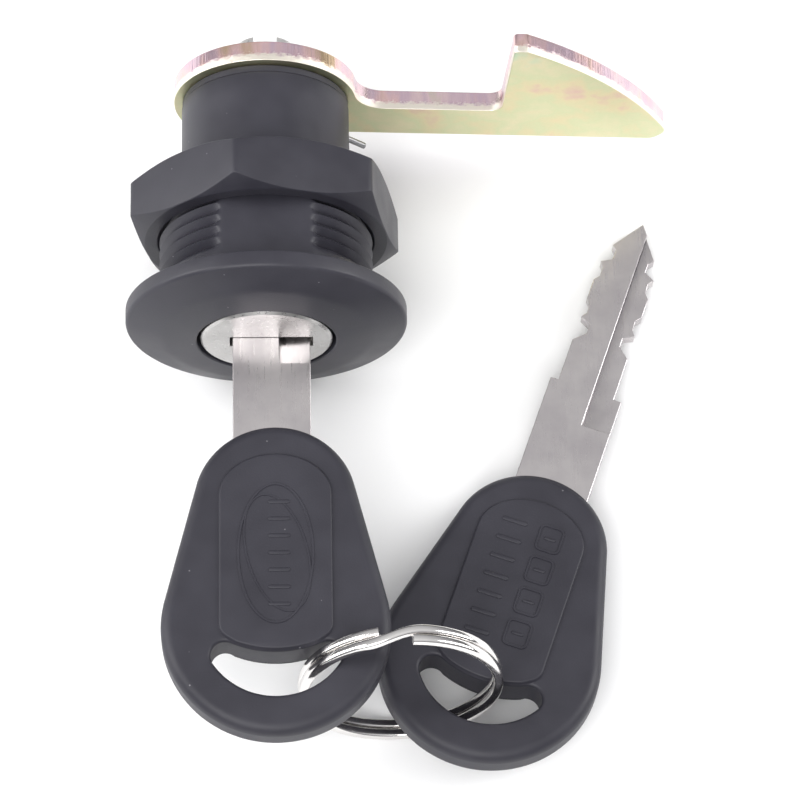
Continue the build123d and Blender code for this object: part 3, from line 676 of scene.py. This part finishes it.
def key_2_place_maker():
    """Key 2's bow: the heading and pitch are the CAD's, and the CAD's boxes fix where its top is."""
    heading, pitch = math.radians(19.65), math.radians(3.7)
    tang_length, blade_half = 10.0, 1.0
    ahead = Vector((math.sin(heading), math.cos(heading), 0))
    along = ahead * math.cos(pitch) - Vector((0, 0, math.sin(pitch)))
    right = Vector((math.cos(heading), -math.sin(heading), 0))
    up = right.cross(along)
    box_low, box_high = node_box("key_2_bow")
    blade_high = node_box("key_2_blade")[1]
    reach_x = max((along * y - right * x).x for x, y in bow_outline())
    reach_y = min((along * y - right * x).y for x, y in bow_outline())
    # the blade's highest point is the end of its tang, inside the bow
    top = Vector((box_high[0] - reach_x, box_low[1] - reach_y,
                  blade_high[2] - blade_half * up.z + tang_length * along.z))

    def place(x, y, z):
        return tuple(top - right * x + along * y - up * z)
    return place


def blades():
    for number in (1, 2):
        piece = soften(f"key_{number}_blade", f"blade_{number}", 0.09)
        dress(piece, blade_metal)
        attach(piece, f"key_{number}")
        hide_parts(f"key_{number}_blade")


# ------------------------------------------------------------------ split ring
def ring_path():
    """The middle line of the wire: a near turn, a crossing and a far turn, in the CAD's plane."""
    low, high = node_box("key_ring")
    tilt, yaw = math.radians(80), math.radians(3)
    radius, wire, gap = 9.7, 1.0, 0.08
    offset = (wire + gap) / 2
    middle = Vector(((low[0] + high[0]) / 2, (low[1] + high[1]) / 2, 0))
    middle.z = floor_z + (radius + wire / 2) * math.sin(tilt) + (offset + wire / 2) * math.cos(tilt)
    x_axis = Vector((math.cos(yaw), math.sin(yaw), 0))
    level = Vector((-math.sin(yaw), math.cos(yaw), 0))
    normal = level * -math.sin(tilt) + Vector((0, 0, math.cos(tilt)))
    y_axis = normal.cross(x_axis)
    start, opening, crossing = 84.0, 19.0, 34.0
    turn = 360 - opening / 2 - crossing / 2
    path = []
    for i in range(181):
        path.append((start - turn * i / 180, offset))
    for i in range(1, 24):
        t = i / 24
        path.append((start - turn - crossing * t, offset * math.cos(math.pi * t)))
    for i in range(181):
        path.append((start - turn - crossing - turn * i / 180, -offset))
    spots = []
    for angle, height in path:
        a = math.radians(angle)
        spoke = x_axis * math.cos(a) + y_axis * math.sin(a)
        spots.append((middle + spoke * radius + normal * height, spoke))
    return spots, normal


def key_ring():
    spots, normal = ring_path()
    half, steps, power = 0.5, 20, 2.0 / 3.2
    points, faces = [], []
    for centre, spoke in spots:
        for k in range(steps):
            a = 2 * math.pi * (k + 0.5) / steps
            across = half * math.copysign(abs(math.cos(a)) ** power, math.cos(a))
            rise = half * math.copysign(abs(math.sin(a)) ** power, math.sin(a))
            points.append(tuple(centre + spoke * across + normal * rise))
    for i in range(len(spots) - 1):
        for k in range(steps):
            n = (k + 1) % steps
            faces.append((i * steps + k, i * steps + n, (i + 1) * steps + n, (i + 1) * steps + k))
    faces.append(tuple(range(steps)))
    faces.append(tuple(range((len(spots) - 1) * steps, len(spots) * steps)))
    piece = mesh_piece("split_ring", points, faces, 60.0)
    dress(piece, ring_metal)
    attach(piece, "ring")
    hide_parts("key_ring")


# ------------------------------------------------------------------ plug, bush and small parts
def plug():
    piece = soften("plug", "plug_core", 0.08)
    dress(piece, nickel)
    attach(piece, "plug")
    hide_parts("plug")


def small_parts():
    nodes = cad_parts
    dress(nodes["rear_bush"], nylon)
    dress(nodes["torsion_spring"], wire_metal)
    for i in range(1, 6):
        dress(nodes[f"wafer_{i}"], wafer_metal)
        dress(nodes[f"wafer_spring_{i}"], wire_metal)


# ------------------------------------------------------------------ floor, light and camera
def area_light(name, place, target, size, power, colour=(1, 1, 1)):
    data = bpy.data.lights.new(name, "AREA")
    data.shape = "RECTANGLE"
    data.size, data.size_y = size
    data.energy = power
    data.color = colour
    light = bpy.data.objects.new(name, data)
    light.location = place
    light.rotation_euler = (Vector(target) - Vector(place)).to_track_quat("-Z", "Y").to_euler()
    bpy.context.scene.collection.objects.link(light)


def sky():
    """A plain studio surround: dark low down, pale overhead."""
    world = bpy.data.worlds.new("studio")
    bpy.context.scene.world = world
    world.use_nodes = True
    tree = world.node_tree
    direction = add(tree, "ShaderNodeTexCoord")
    height = add(tree, "ShaderNodeSeparateXYZ", Vector=direction.outputs["Generated"])
    shade = ramp(tree, height.outputs["Z"], [(0.0, (0.06, 0.06, 0.06)), (0.22, (0.20, 0.20, 0.21)),
                                             (0.50, (0.42, 0.42, 0.43)), (0.80, (0.68, 0.68, 0.69)),
                                             (1.0, (0.90, 0.90, 0.90))])
    background = tree.nodes["Background"]
    tree.links.new(shade, background.inputs["Color"])
    background.inputs["Strength"].default_value = 1.0


def studio(middle):
    bpy.ops.mesh.primitive_plane_add(size=3.0, location=(middle.x, middle.y, cad_box[0][2] - 0.00002))
    ground = bpy.context.object
    ground.name = "floor"
    ground.data.materials.append(floor_material())
    sky()
    area_light("front", middle + Vector((-0.25, -0.60, 0.80)), middle, (0.7, 0.6), 7.5)
    area_light("left", middle + Vector((-0.75, 0.10, 0.38)), middle, (0.35, 0.7), 5)
    area_light("right", middle + Vector((0.75, 0.15, 0.38)), middle, (0.3, 0.6), 4.2)


def camera():
    azimuth, elevation, roll = (math.radians(a) for a in (-5.114, 66.513, 4.32))
    low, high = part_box("housing")
    target = (Vector(low) + Vector(high)) / 2 + Vector(AIM) * MM
    back = Vector((math.cos(elevation) * math.sin(azimuth), -math.cos(elevation) * math.cos(azimuth),
                   math.sin(elevation)))
    level = Vector((math.cos(azimuth), math.sin(azimuth), 0))
    right = level * math.cos(roll) + back.cross(level) * math.sin(roll)
    turn = Matrix((right, back.cross(right), back)).transposed().to_4x4()
    turn.translation = target + back * CAMERA_DISTANCE
    data = bpy.data.cameras.new("camera")
    data.sensor_width = 36
    data.lens = 155.46
    data.clip_start = 0.01
    view = bpy.data.objects.new("camera", data)
    view.matrix_world = turn
    bpy.context.scene.collection.objects.link(view)
    bpy.context.scene.camera = view


AIM = (13.50, -19.91, 0)    # from the middle of the housing's box to the point the camera looks at
CAMERA_DISTANCE = 0.3506

middle = (Vector(cad_box[0]) + Vector(cad_box[1])) / 2
housing()
nut()
cam()
plug()
blades()
key_bow("bow_1", "key_1_bow", "key_1", key_1_place)
key_bow("bow_2", "key_2_bow", "key_2", key_2_place_maker())
key_ring()
small_parts()
studio(middle)
camera()
bpy.context.scene.view_settings.view_transform = "Standard"
